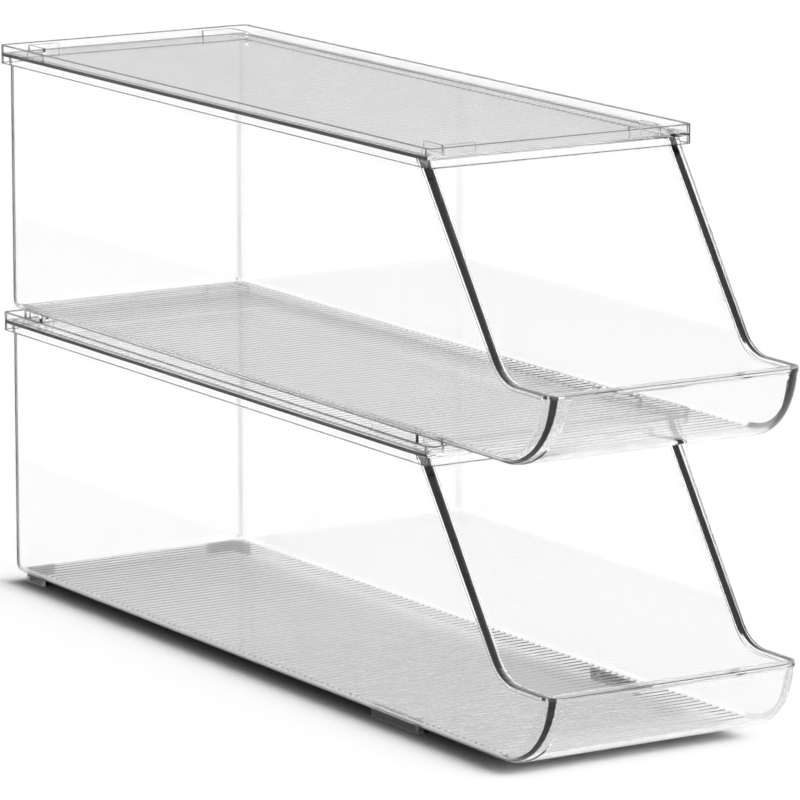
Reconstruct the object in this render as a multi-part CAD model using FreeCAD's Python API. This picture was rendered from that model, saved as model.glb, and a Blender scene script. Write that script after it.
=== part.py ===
import FreeCAD, Part
import math
import os

os.makedirs("parts", exist_ok=True)

V = FreeCAD.Vector

# Driving sizes, millimetres. X is across, Y runs from the tray at the front to the rear, Z is up.
lid_w = 148.0
lid_l = 415.0
tray_reach = 99.5
unit_pitch = 140.0

# Lid
plate_t = 1.8
rim_up = 4.0
skirt_down = 3.7
band_t = 1.6
lid_corner_r = 3.4

# Bin walls and floor
wall_t = 2.2
floor_t = 2.2
foot_h = 5.5
bin_side_gap = 2.0
bin_rear_gap = 0.9
corner_r = 4.4
rear_floor_r = 6.0

# Front mouth: sloping side edges that run down into the tray rim
mouth_setback = 10.3
slope_deg = 35.3
tray_rim_z = 43.3
mouth_blend_r = 22.0
tray_arc_r = 41.5
tray_corner_r = 11.0

# Thick rim round the mouth
rim_t = 2.0
rim_in = 4.4
rim_front_w = 8.0
rim_front_lip = 0.65
rim_side_lip = 0.35
rim_clear = 0.4
rim_inner_r = 1.8

# Transverse ribs
rib_pitch = 5.3
rib_w = 2.4
rib_h = 0.7
rib_root = 0.4
bin_rib_side = 4.6
bin_rib_rear = 6.0
lid_rib_side = 4.8
lid_rib_front = 8.0
lid_rib_rear = 9.0
lid_rib_clear = 0.8

# Locators on the lid, and the feet that stand round them
loc_side = 11.2
loc_rear = 7.0
loc_front = 8.0
loc_leg_x = 18.0
loc_leg_y = 16.8
loc_t = 1.6
loc_h = 3.6
foot_clear = 0.7
foot_t = 2.0
rear_foot_leg = 17.0
front_foot_len = 41.0
front_foot_return = 4.0
front_foot_clear = 1.0
foot_corner_r = 1.4
fuse_depth = 0.3

# Positions worked out from the sizes above
y_front = -(lid_l + tray_reach) / 2
y_lid_rear = (lid_l + tray_reach) / 2
y_lid_front = y_lid_rear - lid_l
lid_in_half = lid_w / 2 - band_t
bin_half = lid_in_half - bin_side_gap
y_bin_rear = y_lid_rear - band_t - bin_rear_gap
bin_top = unit_pitch - plate_t
floor_top = foot_h + floor_t
mouth_top_y = y_lid_front + mouth_setback
arc_c_z = foot_h + tray_arc_r
arc_drop = arc_c_z - tray_rim_z
arc_c_y = y_front + rim_front_lip + math.sqrt(tray_arc_r ** 2 - arc_drop ** 2)
rim_in_half = bin_half - rim_in
flange_half = lid_in_half - rim_clear
loc_half = lid_in_half - loc_side
foot_half = loc_half + foot_clear + foot_t
slope = math.radians(slope_deg)
past = unit_pitch / 4
stack_levels = (0.0, unit_pitch)


def line(a, b):
    return Part.makeLine(V(*a), V(*b))


def arc(centre, r, start_deg, end_deg, x):
    """Arc in the YZ plane at x: its edge, its start and its end."""
    pts = []
    for deg in (start_deg, (start_deg + end_deg) / 2, end_deg):
        a = math.radians(deg)
        pts.append((x, centre[0] + r * math.cos(a), centre[1] + r * math.sin(a)))
    return Part.Arc(V(*pts[0]), V(*pts[1]), V(*pts[2])).toShape(), pts[0], pts[2]


def box(x0, x1, y0, y1, z0, z1):
    return Part.makeBox(x1 - x0, y1 - y0, z1 - z0, V(x0, y0, z0))


def upright_edges(body):
    return [e for e in body.Edges if e.BoundBox.ZLength > 1e-6
            and e.BoundBox.XLength < 1e-6 and e.BoundBox.YLength < 1e-6]


def rounded_plan(half_w, y0, y1, r, z0, z1):
    """Upright block centred across X with its four upright corners rounded."""
    body = box(-half_w, half_w, y0, y1, z0, z1)
    return body.makeFillet(r, upright_edges(body))


def across(edges, half_w):
    """Closed YZ outline at x = -half_w, pushed across to x = +half_w."""
    return Part.Face(Part.Wire(edges)).extrude(V(2 * half_w, 0, 0))


def mid_point(edge):
    return edge.valueAt((edge.FirstParameter + edge.LastParameter) / 2)


def side_edges(body, outline):
    """The edges of body that lie along this part of its YZ outline, on both sides."""
    wanted = [mid_point(e) for e in outline]
    found = []
    for edge in body.Edges:
        p = mid_point(edge)
        on_side = edge.BoundBox.XLength < 1e-6
        if on_side and any(math.hypot(p.y - q.y, p.z - q.z) < 1e-3 for q in wanted):
            found.append(edge)
    return found


def front_block(half_w, r, r_top, r_low):
    """Quarter round behind the tray front. Its end edges are rounded by r_top at the rim and r_low below."""
    x = -half_w
    curve, top, low = arc((arc_c_y, arc_c_z), r, 180.0, 270.0, x)
    inside = (x, arc_c_y, arc_c_z)
    body = across([curve, line(low, inside), line(inside, top)], half_w)
    return body.makeFillet(r_top, r_low, side_edges(body, [curve]))


def rear_block(half_w, z_low, y_rear, z_top, r_floor, r_side):
    """Straight part of the bin. The floor meets the rear wall in r_floor, and r_side rounds both sides."""
    x = -half_w
    curve, low, high = arc((y_rear - r_floor, z_low + r_floor), r_floor, 270.0, 360.0, x)
    start, rear_top, front_top = (x, arc_c_y, z_low), (x, y_rear, z_top), (x, arc_c_y, z_top)
    skin = [line(start, low), curve, line(high, rear_top)]
    body = across(skin + [line(rear_top, front_top), line(front_top, start)], half_w)
    return body.makeFillet(r_side, side_edges(body, skin))


def mouth_curve(offset, x):
    """The mouth seen from the side, moved offset into the material: top, end of slope, blend, end of blend."""
    level = tray_rim_z - offset
    r = mouth_blend_r + offset
    top = (x, mouth_top_y + offset / math.cos(slope), bin_top)
    meet_y = top[1] - (bin_top - level) * math.tan(slope)
    tangent = r * math.tan((math.pi / 2 - slope) / 2)
    blend, on_slope, on_level = arc((meet_y - tangent, level + r), r, -slope_deg, -90.0, x)
    return top, on_slope, blend, on_level


def above_mouth():
    """Everything over the sloping edges and the tray, to be cut away."""
    half_w = bin_half + past
    x = -half_w
    top, on_slope, blend, on_level = mouth_curve(0.0, x)
    low = (x, y_front - past, tray_rim_z)
    high = (x, y_front - past, bin_top + past)
    back = (x, top[1] + past * math.tan(slope), bin_top + past)
    return across([line(back, on_slope), blend, line(on_level, low), line(low, high), line(high, back)], half_w)


def mouth_rim():
    """Rim strip along the mouth: wide in front, narrow at the sides, flared out to the lid at the top."""
    half_w = flange_half + past
    x = -half_w
    top_a, slope_a, blend_a, level_a = mouth_curve(0.0, x)
    top_b, slope_b, blend_b, level_b = mouth_curve(rim_t, x)
    end_a = (x, y_front - past, tray_rim_z)
    end_b = (x, y_front - past, tray_rim_z - rim_t)
    strip = across([line(top_a, slope_a), blend_a, line(level_a, end_a), line(end_a, end_b),
                    line(end_b, level_b), blend_b, line(slope_b, top_b), line(top_b, top_a)], half_w)
    lip_half = bin_half + rim_side_lip
    y_end = mouth_top_y + past
    half_plan = [(flange_half, y_end), (flange_half, mouth_top_y), (lip_half, slope_a[1]), (lip_half, y_front)]
    plan = half_plan + [(-a, b) for a, b in reversed(half_plan)]
    loop = [V(a, b, 0.0) for a, b in plan + plan[:1]]
    outer = Part.Face(Part.makePolygon(loop)).extrude(V(0, 0, bin_top))
    corners = [e for e in upright_edges(outer) if abs(mid_point(e).y - y_front) < 1e-6]
    outer = outer.makeFillet(tray_corner_r, corners)
    inner = rounded_plan(rim_in_half, y_front + rim_front_w, y_end + past, rim_inner_r, -past, bin_top + past)
    return strip.common(outer.cut(inner))


def rib_rows(y0, y1):
    """Middles of as many ribs as fit from y0 to y1."""
    count = int((y1 - y0) / rib_pitch)
    first = (y0 + y1 - count * rib_pitch) / 2
    return [first + i * rib_pitch for i in range(count + 1)]


def corner_leg(side, half_w, y_corner, leg_x, leg_y, t, z0, z1):
    """L-shaped upright rib. A positive leg_y runs to the rear from the corner, a negative one to the front."""
    way = math.copysign(1.0, leg_y)
    xs = sorted((side * half_w, side * (half_w - leg_x)))
    ys = sorted((y_corner, y_corner + leg_y))
    block = box(*xs, *ys, z0, z1)
    corner = [e for e in upright_edges(block) if abs(mid_point(e).x - side * half_w) < 1e-6
              and abs(mid_point(e).y - y_corner) < 1e-6]
    xs = sorted((side * (half_w - t), side * (half_w - leg_x - t)))
    ys = sorted((y_corner + way * t, y_corner + leg_y + way * t))
    return block.makeFillet(foot_corner_r, corner).cut(box(*xs, *ys, z0 - past, z1 + past))


def feet():
    """Four feet: the rear ones go round the lid's rear locators, the front ones go behind its front ones."""
    rear_y = y_lid_rear - loc_rear + foot_clear + foot_t
    front_y = y_lid_front + loc_front + loc_leg_y + front_foot_clear
    z1 = foot_h + fuse_depth
    legs = []
    for side in (-1, 1):
        legs.append(corner_leg(side, foot_half, rear_y, rear_foot_leg, -rear_foot_leg, foot_t, 0.0, z1))
        legs.append(corner_leg(side, foot_half, front_y, front_foot_return, front_foot_len, foot_t, 0.0, z1))
    return legs


def locators():
    """Four corner marks on the lid that keep the feet of the next bin in place."""
    z0 = unit_pitch - fuse_depth
    z1 = unit_pitch + loc_h
    legs = []
    for side in (-1, 1):
        legs.append(corner_leg(side, loc_half, y_lid_rear - loc_rear, loc_leg_x, -loc_leg_y, loc_t, z0, z1))
        legs.append(corner_leg(side, loc_half, y_lid_front + loc_front, loc_leg_x, loc_leg_y, loc_t, z0, z1))
    return legs


def make_bin():
    y_wall_rear = y_bin_rear - wall_t
    r_tray = tray_corner_r - rim_front_lip
    outside = rear_block(bin_half, foot_h, y_bin_rear, bin_top, rear_floor_r, corner_r)
    outside = outside.fuse(front_block(bin_half, tray_arc_r, r_tray, corner_r)).cut(above_mouth())
    half_in = bin_half - wall_t
    r_in = corner_r - wall_t
    hollow = rear_block(half_in, floor_top, y_wall_rear, bin_top + past, rear_floor_r - wall_t, r_in)
    hollow = hollow.fuse(front_block(half_in, tray_arc_r - wall_t, r_tray - wall_t, r_in))
    rib_half = bin_half - bin_rib_side
    ribs = [box(-rib_half, rib_half, y - rib_w / 2, y + rib_w / 2, floor_top - rib_root, floor_top + rib_h)
            for y in rib_rows(arc_c_y, y_wall_rear - bin_rib_rear)]
    return outside.cut(hollow).multiFuse([mouth_rim()] + feet() + ribs).removeSplitter()


def make_lid():
    z_low = bin_top - skirt_down
    z_high = unit_pitch + rim_up
    y0 = y_lid_front + band_t
    y1 = y_lid_rear - band_t
    r_in = lid_corner_r - band_t
    outer = rounded_plan(lid_w / 2, y_lid_front, y_lid_rear, lid_corner_r, z_low, z_high)
    above = rounded_plan(lid_in_half, y0, y1, r_in, unit_pitch, z_high + past)
    below = rounded_plan(lid_in_half, y0, y1, r_in, z_low - past, bin_top)
    ribs = []
    for y in rib_rows(y0 + lid_rib_front, y1 - lid_rib_rear):
        near_mouth = y < mouth_top_y + rib_pitch
        half = rim_in_half - lid_rib_clear if near_mouth else lid_in_half - lid_rib_side
        ribs.append(box(-half, half, y - rib_w / 2, y + rib_w / 2, bin_top - rib_h, bin_top + rib_root))
    return outer.cut(above).cut(below).multiFuse(locators() + ribs).removeSplitter()


one_bin = make_bin()
one_lid = make_lid()
names = (("lower_bin", "lower_lid"), ("upper_bin", "upper_lid"))
for level, pair in zip(stack_levels, names):
    for shape, name in zip((one_bin, one_lid), pair):
        placed = shape.copy()
        placed.translate(V(0, 0, level))
        placed.exportStep("parts/" + name + ".step")
        print(name, len(placed.Solids), placed.isValid(), round(placed.Volume / 1000, 1), "cm3")
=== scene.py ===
import math

import bpy
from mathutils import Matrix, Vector

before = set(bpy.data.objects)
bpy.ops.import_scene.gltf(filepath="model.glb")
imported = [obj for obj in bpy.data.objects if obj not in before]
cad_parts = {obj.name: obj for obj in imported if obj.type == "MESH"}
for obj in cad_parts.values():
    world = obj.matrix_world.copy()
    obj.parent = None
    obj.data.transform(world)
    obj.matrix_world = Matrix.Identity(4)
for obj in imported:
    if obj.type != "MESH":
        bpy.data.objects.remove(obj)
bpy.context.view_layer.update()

# Camera: a long lens from the near left, a little above
LENS = 276.6
SENSOR = 36.0
CAMERA_AZIMUTH = math.radians(-32.007)
CAMERA_ELEVATION = math.radians(11.171)
CAMERA_PLACE = Vector((-1.5664, -2.5209, 0.7184))

# Clear plastic
IOR = 1.49
GLOSS_ROUGHNESS = 0.02
WORN_ROUGHNESS = 0.06
SCUFF_SCALE = 60.0
SCUFF_DETAIL = 3.0
SCUFFED = (0.55, 0.8)
FLOW_SCALE = 22.0
FLOW_DETAIL = 1.0
FLOW_DEPTH = 0.00004
TINT = (0.86, 0.87, 0.88)
TINT_DENSITY = 12.0

# Rounded corners, edges and the sloping rim bend the light away, so they look dark; that shade is painted
# into the base colour.
# A share is how dark the painted shade is: 0 is clear and 1 lets through only the painted shade colour
# below.
PAINTED_SHADE_COLOUR = 0.01
SIDE_SOFT = 0.01
THIN = 0.0001
UPRIGHT_TURN = (0.24, 0.4)

# The bin's mouth, from its side: a slope, a bend and the level rim of the tray, repeated for each unit
UNIT_PITCH = 0.140
SLOPE = math.radians(35.3)
SLOPE_NORMAL = (0.0, -math.cos(SLOPE), math.sin(SLOPE))
SLOPE_FACING = (0.96, 0.99)
MOUTH_TOP_Y = -0.14745
MOUTH_TOP_Z = 0.1382
SLOPE_END_Y = -0.2081
TRAY_RIM_Z = 0.0433
MOUTH_BLEND_R = 0.022

# The painted shade bands on the rim: the outer part on the left, the inner part with an outer line on the
# right
LEFT_BAND_FROM = 0.0674
LEFT_BAND_SOFT = 0.0004
RIGHT_BAND = (0.0662, 0.0687)
BAND_SOFT = 0.0002
OUTER_AT_TOP = 0.0720
OUTER_AT_END = 0.07075
OUTER_LINE = 0.0004
OUTER_LINE_SHARE = 0.28
BEND_BAND = (0.0428, 0.0530)
BEND_SOFT = 0.0003
BEND_SIDEWAYS = (0.3, 0.2)
BEND_SHARE = 0.4

# Two thin lines of painted shade along each side of the rim strip
STRIP_DEPTH = 0.0020
STRIP_OUTER_HALF = 0.0706
STRIP_SIDEWAYS = (0.8, 0.9)
STRIP_LINE = 0.0004
STRIP_LINE_SHARE = 0.4

# Painted shade on the tray's corners and the rear corners, and painted shadow on the feet
TRAY_START_Y = -0.213
TRAY_SOFT = 0.002
LEFT_TRAY_TURN = (0.465, 0.485)
RIGHT_TRAY_TURN = (0.08, 0.20)
LOWER_RIGHT_SHARE = 0.06
REAR_Y = (0.20, 0.21)
REAR_LEFT_SHARE = 0.55
REAR_RIGHT_SHARE = 0.06
FOOT_TOP = 0.0054
REAR_FOOT_SHADOW = 0.5
FRONT_FOOT_SHADOW = 0.9

# Painted shade in thin lines at the lid's rim and skirt edges, and on its corners
LID_TOP = 0.0040
SKIRT_LOW = 0.1345
EDGE_LINE = 0.0005
EDGE_REACH = 0.0009
LINE_SHARE = 0.30
LID_CORNER_SHARE = 0.7
OPPOSITE_SOFT = 0.001

# Only the lowest floor plate and its feet throw a shadow, up to this height
SHADE_LOW = 0.006
SHADE_HIGH = 0.007

# Studio: white overhead and grey near the horizon, with soft light from the right
HORIZON_LEVEL = 0.42
HORIZON_TOP = 0.62
SIDE_AZIMUTH = math.radians(46.0)
SIDE_ELEVATION = math.radians(20.0)
SIDE_SPREAD = 8.0
SIDE_LEVEL = 11.13
ROUND_LEVEL = 0.2

# Floor, with a painted glow below the bin for rays seen in or through the plastic
FLOOR_HALF = 30.0
FLOOR_GLOW = 0.5
GLOW_HALF_X = 0.085
GLOW_HALF_Y = 0.270
GLOW_SOFT = 0.01


def direction(azimuth, elevation):
    """Unit vector from the object towards a place at this azimuth and elevation."""
    c = math.cos(elevation)
    return Vector((math.sin(azimuth) * c, -math.cos(azimuth) * c, math.sin(elevation)))


def new_material(name):
    mat = bpy.data.materials.new(name)
    mat.use_nodes = True
    mat.node_tree.nodes.clear()
    return mat, mat.node_tree


def add(tree, kind, **values):
    node = tree.nodes.new(kind)
    for key, value in values.items():
        if key in node.inputs:
            node.inputs[key].default_value = value
        else:
            setattr(node, key, value)
    return node


def math_node(tree, operation, a, b):
    node = add(tree, "ShaderNodeMath", operation=operation)
    for socket, value in zip(node.inputs, (a, b)):
        if isinstance(value, (int, float)):
            socket.default_value = value
        else:
            tree.links.new(value, socket)
    return node.outputs[0]


def ranged(tree, value, low, high, to_low=0.0, to_high=1.0):
    """Value from low to high, carried over to the range from to_low to to_high."""
    node = add(tree, "ShaderNodeMapRange")
    for name, number in (("From Min", low), ("From Max", high), ("To Min", to_low), ("To Max", to_high)):
        node.inputs[name].default_value = number
    tree.links.new(value, node.inputs["Value"])
    return node.outputs[0]


def object_place(tree):
    return add(tree, "ShaderNodeTexCoord").outputs["Object"]


def parts_of(tree, vector):
    split = add(tree, "ShaderNodeSeparateXYZ")
    tree.links.new(vector, split.inputs[0])
    return split.outputs[0], split.outputs[1], split.outputs[2]


def height(tree, place):
    return parts_of(tree, place)[2]


def size_of(tree, value):
    return math_node(tree, "ABSOLUTE", value, 0.0)


def most_of(tree, first, *others):
    for other in others:
        first = math_node(tree, "MAXIMUM", first, other)
    return first


def product(tree, first, *others):
    for other in others:
        first = math_node(tree, "MULTIPLY", first, other)
    return first


def noise(tree, place, scale, detail):
    node = add(tree, "ShaderNodeTexNoise", Scale=scale, Detail=detail)
    tree.links.new(place, node.inputs["Vector"])
    return node.outputs["Fac"]


def face_way(tree):
    return add(tree, "ShaderNodeNewGeometry").outputs["Normal"]


def between(tree, value, low, high, soft):
    """1 from low to high, falling to 0 over soft beyond each end."""
    return product(tree, ranged(tree, value, low - soft, low), ranged(tree, value, high + soft, high))


def upright_corner(tree, n_x, n_y):
    """1 on the rounded upright corners, where the face points between X and Y."""
    return ranged(tree, product(tree, size_of(tree, n_x), size_of(tree, n_y)), *UPRIGHT_TURN)


def outside_mouth(tree, y, level):
    """How far a place is outside the mouth's side profile. It is below 0 in the plastic."""
    sine, cosine = math.sin(SLOPE), math.cos(SLOPE)
    meet_y = MOUTH_TOP_Y - (MOUTH_TOP_Z - TRAY_RIM_Z) * math.tan(SLOPE)
    centre_y = meet_y - MOUTH_BLEND_R * math.tan((math.pi / 2 - SLOPE) / 2)
    centre_z = TRAY_RIM_Z + MOUTH_BLEND_R
    v_y = math_node(tree, "SUBTRACT", y, centre_y)
    v_z = math_node(tree, "SUBTRACT", level, centre_z)
    along_slope = math_node(tree, "ADD", product(tree, v_y, sine), product(tree, v_z, cosine))
    on_slope = math_node(tree, "GREATER_THAN", along_slope, 0.0)
    off_slope = math_node(tree, "SUBTRACT", 1.0, on_slope)
    ahead = product(tree, off_slope, math_node(tree, "LESS_THAN", v_y, 0.0))
    in_bend = math_node(tree, "SUBTRACT", off_slope, ahead)
    from_top_y = math_node(tree, "SUBTRACT", y, MOUTH_TOP_Y)
    from_top_z = math_node(tree, "SUBTRACT", level, MOUTH_TOP_Z)
    from_slope = math_node(tree, "ADD", product(tree, from_top_y, -cosine), product(tree, from_top_z, sine))
    from_level = math_node(tree, "SUBTRACT", level, TRAY_RIM_Z)
    reach = math_node(tree, "ADD", product(tree, v_y, v_y), product(tree, v_z, v_z))
    from_bend = math_node(tree, "SUBTRACT", MOUTH_BLEND_R, math_node(tree, "SQRT", reach, 0.0))
    depth = math_node(tree, "ADD", product(tree, on_slope, from_slope), product(tree, ahead, from_level))
    return math_node(tree, "ADD", depth, product(tree, in_bend, from_bend))


def painted_strip_lines(tree, wide, y, level, across):
    """Two thin lines of painted shade along the side of the mouth's rim strip, one at its top and one at
    its lower edge.
    """
    half = STRIP_DEPTH / 2
    middle = math_node(tree, "ADD", outside_mouth(tree, y, level), half)
    off_edge = size_of(tree, math_node(tree, "SUBTRACT", size_of(tree, middle), half))
    line = ranged(tree, off_edge, STRIP_LINE, STRIP_LINE - THIN)
    sideways = ranged(tree, across, *STRIP_SIDEWAYS)
    outside = ranged(tree, wide, STRIP_OUTER_HALF - THIN, STRIP_OUTER_HALF)
    return product(tree, line, sideways, outside, STRIP_LINE_SHARE)


def painted_slope_shade(tree, normal, wide, y, left, right):
    """Painted shade: a dark band on the faces of the sloping rim."""
    along = add(tree, "ShaderNodeVectorMath", operation="DOT_PRODUCT")
    tree.links.new(normal, along.inputs[0])
    along.inputs[1].default_value = SLOPE_NORMAL
    facing = ranged(tree, size_of(tree, along.outputs["Value"]), *SLOPE_FACING)
    left_band = product(tree, left, ranged(tree, wide, LEFT_BAND_FROM - LEFT_BAND_SOFT, LEFT_BAND_FROM))
    right_band = product(tree, right, between(tree, wide, *RIGHT_BAND, BAND_SOFT))
    outer = ranged(tree, y, SLOPE_END_Y, MOUTH_TOP_Y, OUTER_AT_END, OUTER_AT_TOP)
    outer_line = math_node(tree, "GREATER_THAN", wide, math_node(tree, "SUBTRACT", outer, OUTER_LINE))
    outer_line = product(tree, right, outer_line, OUTER_LINE_SHARE)
    return product(tree, facing, most_of(tree, left_band, right_band, outer_line))


def painted_tray_corner_shade(tree, n_x, across, y, z, left, right):
    """Painted shade: a dark strip down the tray's rounded corners, light at the lower right."""
    along_side = math_node(tree, "SQRT", math_node(tree, "SUBTRACT", 1.0, product(tree, n_x, n_x)), 0.0)
    turned = product(tree, across, along_side)
    in_tray = ranged(tree, y, TRAY_START_Y, TRAY_START_Y - TRAY_SOFT)
    lower = ranged(tree, z, UNIT_PITCH, UNIT_PITCH - SIDE_SOFT)
    right_share = ranged(tree, lower, 0.0, 1.0, 1.0, LOWER_RIGHT_SHARE)
    left_strip = product(tree, ranged(tree, turned, *LEFT_TRAY_TURN), left, in_tray)
    right_strip = product(tree, ranged(tree, turned, *RIGHT_TRAY_TURN), right, in_tray, right_share)
    return most_of(tree, left_strip, right_strip)


def bin_painted_shade(tree, place):
    """Painted shade: 1 on the tray's rounded corners and the sloping rim, less on the rear corners and, as
    painted shadow, on the feet.
    """
    x, y, z = parts_of(tree, place)
    normal = face_way(tree)
    n_x, n_y, _ = parts_of(tree, normal)
    across = size_of(tree, n_x)
    wide = size_of(tree, x)
    level = math_node(tree, "MODULO", z, UNIT_PITCH)
    left = ranged(tree, x, SIDE_SOFT, -SIDE_SOFT)
    right = ranged(tree, x, -SIDE_SOFT, SIDE_SOFT)
    trays = painted_tray_corner_shade(tree, n_x, across, y, z, left, right)
    # Painted shade down the rear upright corners, strong on the left and faint on the right
    rear_share = ranged(tree, x, -SIDE_SOFT, SIDE_SOFT, REAR_LEFT_SHARE, REAR_RIGHT_SHARE)
    rear = product(tree, upright_corner(tree, n_x, n_y), ranged(tree, y, *REAR_Y), rear_share)
    slopes = painted_slope_shade(tree, normal, wide, y, left, right)
    beside = ranged(tree, wide, LEFT_BAND_FROM - LEFT_BAND_SOFT, LEFT_BAND_FROM)
    # Painted shade on the outer left part of the bend below the slope
    bend = product(tree, between(tree, level, *BEND_BAND, BEND_SOFT), ranged(tree, across, *BEND_SIDEWAYS))
    bend = product(tree, bend, left, beside, BEND_SHARE)
    strip = painted_strip_lines(tree, wide, y, level, across)
    # Painted shadow on the feet, which stand in the contact shadow
    foot_share = ranged(tree, y, -SIDE_SOFT, SIDE_SOFT, FRONT_FOOT_SHADOW, REAR_FOOT_SHADOW)
    foot = product(tree, ranged(tree, z, FOOT_TOP, FOOT_TOP - 2 * THIN), foot_share)
    return most_of(tree, trays, rear, slopes, bend, strip, foot)


def lid_painted_shade(tree, place):
    """Painted shade: a thin line at the rim's top and at the skirt's lower edge, and on the two corners
    seen edge on.
    """
    x, y, z = parts_of(tree, place)
    n_x, n_y, _ = parts_of(tree, face_way(tree))
    level = math_node(tree, "MODULO", z, UNIT_PITCH)
    top = between(tree, level, LID_TOP - EDGE_LINE + THIN, LID_TOP + EDGE_REACH, THIN)
    skirt = between(tree, level, SKIRT_LOW - EDGE_REACH, SKIRT_LOW + EDGE_LINE - THIN, THIN)
    line = product(tree, most_of(tree, top, skirt), LINE_SHARE)
    opposite = ranged(tree, product(tree, x, y), 0.0, -OPPOSITE_SOFT)
    return most_of(tree, line, product(tree, upright_corner(tree, n_x, n_y), opposite, LID_CORNER_SHARE))


def clear_plastic(name, dark):
    """Clear polystyrene: a little uneven from the mould, with light scuffs, grey where it is deep, and
    painted shade darkening its base colour at edges and corners.
    """
    mat, tree = new_material(name)
    link = tree.links.new
    out = add(tree, "ShaderNodeOutputMaterial")
    place = object_place(tree)
    glass = add(tree, "ShaderNodeBsdfPrincipled")
    # Painted shade: the base colour falls towards the painted shade colour where the mask rises to 1
    painted_shade_base = math_node(tree, "POWER", PAINTED_SHADE_COLOUR, dark(tree, place))
    link(painted_shade_base, glass.inputs["Base Color"])
    glass.inputs["Transmission Weight"].default_value = 1.0
    glass.inputs["IOR"].default_value = IOR
    scuffs = noise(tree, place, SCUFF_SCALE, SCUFF_DETAIL)
    link(ranged(tree, scuffs, *SCUFFED, GLOSS_ROUGHNESS, WORN_ROUGHNESS), glass.inputs["Roughness"])
    flow = add(tree, "ShaderNodeBump", Distance=FLOW_DEPTH)
    link(noise(tree, place, FLOW_SCALE, FLOW_DETAIL), flow.inputs["Height"])
    link(flow.outputs[0], glass.inputs["Normal"])
    through = add(tree, "ShaderNodeBsdfTransparent")
    link(ranged(tree, height(tree, place), SHADE_LOW, SHADE_HIGH), through.inputs["Color"])
    path = add(tree, "ShaderNodeLightPath")
    lamp_ray = math_node(tree, "MAXIMUM", path.outputs["Is Shadow Ray"], path.outputs["Is Diffuse Ray"])
    mix = add(tree, "ShaderNodeMixShader")
    link(lamp_ray, mix.inputs[0])
    link(glass.outputs[0], mix.inputs[1])
    link(through.outputs[0], mix.inputs[2])
    link(mix.outputs[0], out.inputs["Surface"])
    volume = add(tree, "ShaderNodeVolumeAbsorption")
    volume.inputs["Color"].default_value = TINT + (1,)
    volume.inputs["Density"].default_value = TINT_DENSITY
    link(volume.outputs[0], out.inputs["Volume"])
    return mat


def gloss_ray(tree):
    path = add(tree, "ShaderNodeLightPath")
    return math_node(tree, "MAXIMUM", path.outputs["Is Glossy Ray"], path.outputs["Is Transmission Ray"])


def floor_material():
    """White floor that takes a shadow. Below the bin, for rays seen in or through the plastic, a painted
    glow lights it mostly by its own white and hides that shadow.
    """
    mat, tree = new_material("floor_white")
    out = add(tree, "ShaderNodeOutputMaterial")
    matt = add(tree, "ShaderNodeBsdfDiffuse")
    matt.inputs["Color"].default_value = (1, 1, 1, 1)
    glow = add(tree, "ShaderNodeEmission")
    mix = add(tree, "ShaderNodeMixShader")
    x, y, z = parts_of(tree, object_place(tree))
    inside_x = ranged(tree, size_of(tree, x), GLOW_HALF_X, GLOW_HALF_X - GLOW_SOFT)
    inside_y = ranged(tree, size_of(tree, y), GLOW_HALF_Y, GLOW_HALF_Y - GLOW_SOFT)
    tree.links.new(product(tree, gloss_ray(tree), inside_x, inside_y, FLOOR_GLOW), mix.inputs[0])
    tree.links.new(matt.outputs[0], mix.inputs[1])
    tree.links.new(glow.outputs[0], mix.inputs[2])
    tree.links.new(mix.outputs[0], out.inputs["Surface"])
    return mat


def blend(tree, factor, a, b):
    """a where factor is 0 and b where it is 1."""
    node = add(tree, "ShaderNodeMix", data_type="FLOAT")
    for name, value in (("Factor", factor), ("A", a), ("B", b)):
        socket = next(s for s in node.inputs if s.name == name and s.type == "VALUE" and s.enabled)
        if isinstance(value, (int, float)):
            socket.default_value = value
        else:
            tree.links.new(value, socket)
    return next(s for s in node.outputs if s.enabled)


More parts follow.
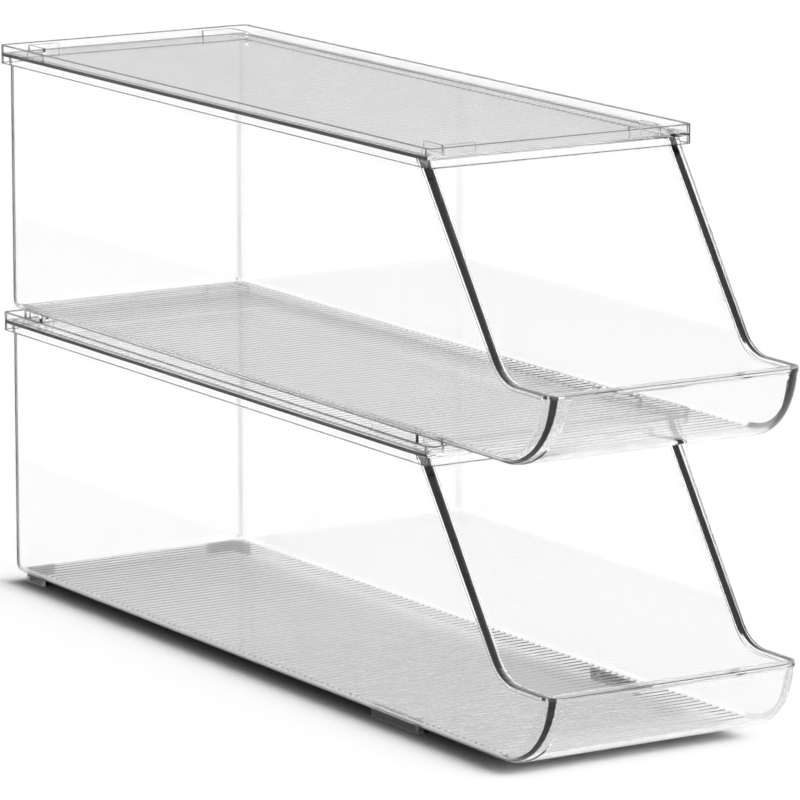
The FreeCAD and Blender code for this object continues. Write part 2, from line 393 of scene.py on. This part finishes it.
def studio(scene):
    world = bpy.data.worlds.new("white_studio")
    scene.world = world
    world.use_nodes = True
    tree = world.node_tree
    background = tree.nodes["Background"]
    background.inputs["Color"].default_value = (1, 1, 1, 1)
    way = add(tree, "ShaderNodeTexCoord").outputs["Generated"]
    overhead = ranged(tree, height(tree, way), 0.0, HORIZON_TOP, HORIZON_LEVEL, 1.0)
    toward = add(tree, "ShaderNodeVectorMath", operation="DOT_PRODUCT")
    tree.links.new(way, toward.inputs[0])
    toward.inputs[1].default_value = direction(SIDE_AZIMUTH, SIDE_ELEVATION)
    lobe = math_node(tree, "MAXIMUM", toward.outputs["Value"], 0.0)
    lobe = math_node(tree, "POWER", lobe, SIDE_SPREAD)
    lobe = math_node(tree, "MULTIPLY", lobe, SIDE_LEVEL)
    lobe = math_node(tree, "ADD", lobe, ROUND_LEVEL)
    seen = blend(tree, gloss_ray(tree), 1.0, overhead)
    path = add(tree, "ShaderNodeLightPath")
    level = blend(tree, path.outputs["Is Diffuse Ray"], seen, lobe)
    tree.links.new(level, background.inputs["Strength"])
    world.cycles.sampling_method = "NONE"


bin_plastic = clear_plastic("clear_plastic_bin", bin_painted_shade)
lid_plastic = clear_plastic("clear_plastic_lid", lid_painted_shade)
for name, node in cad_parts.items():
    for i in range(len(node.material_slots)):
        node.material_slots[i].material = lid_plastic if name.endswith("lid") else bin_plastic

floor_mesh = bpy.data.meshes.new("floor")
h = FLOOR_HALF
floor_mesh.from_pydata([(-h, -h, 0), (h, -h, 0), (h, h, 0), (-h, h, 0)], [], [(0, 1, 2, 3)])
floor_mesh.materials.append(floor_material())
floor = bpy.data.objects.new("floor", floor_mesh)
bpy.context.scene.collection.objects.link(floor)

scene = bpy.context.scene
studio(scene)

scene.cycles.max_bounces = 20
scene.cycles.transmission_bounces = 20
scene.cycles.glossy_bounces = 8
scene.cycles.transparent_max_bounces = 64

lens = bpy.data.cameras.new("camera")
lens.lens = LENS
lens.sensor_width = SENSOR
lens.clip_end = 100.0
camera = bpy.data.objects.new("camera", lens)
scene.collection.objects.link(camera)
camera.location = CAMERA_PLACE
back = direction(CAMERA_AZIMUTH, CAMERA_ELEVATION)
camera.rotation_mode = "QUATERNION"
camera.rotation_quaternion = (-back).to_track_quat("-Z", "Y")
scene.camera = camera

scene.view_settings.view_transform = "Standard"
